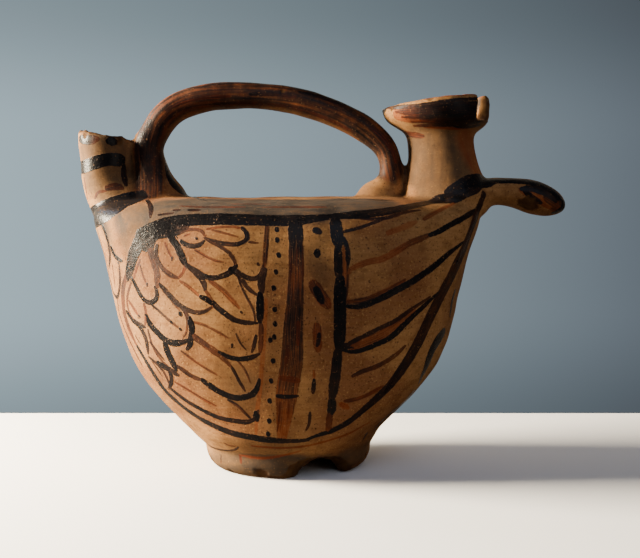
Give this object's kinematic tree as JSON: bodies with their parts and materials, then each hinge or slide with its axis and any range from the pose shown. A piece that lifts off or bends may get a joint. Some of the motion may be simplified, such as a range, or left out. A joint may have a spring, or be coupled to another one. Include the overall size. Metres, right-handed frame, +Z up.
{
  "type": "askos",
  "caption": "Bird-shaped askos: hollow painted clay pouring vessel with an arched handle, filling mouth, ring foot and the open stump of a broken neck.",
  "frame": {"origin": "middle of the underside of the object's box, on the plane the foot stands on", "axes": "+Z up, -X towards the breast and the broken bird's neck, +X towards the tail, Y across the body"},
  "size_m": [0.2194, 0.108, 0.1725],
  "materials": {
    "painted_clay": "burnished orange-tan fired clay, painted in black and red-brown slip, satin where the slip is thick"
  },
  "bodies": {
    "root": {"askos": "painted_clay"}
  },
  "joints": []
}
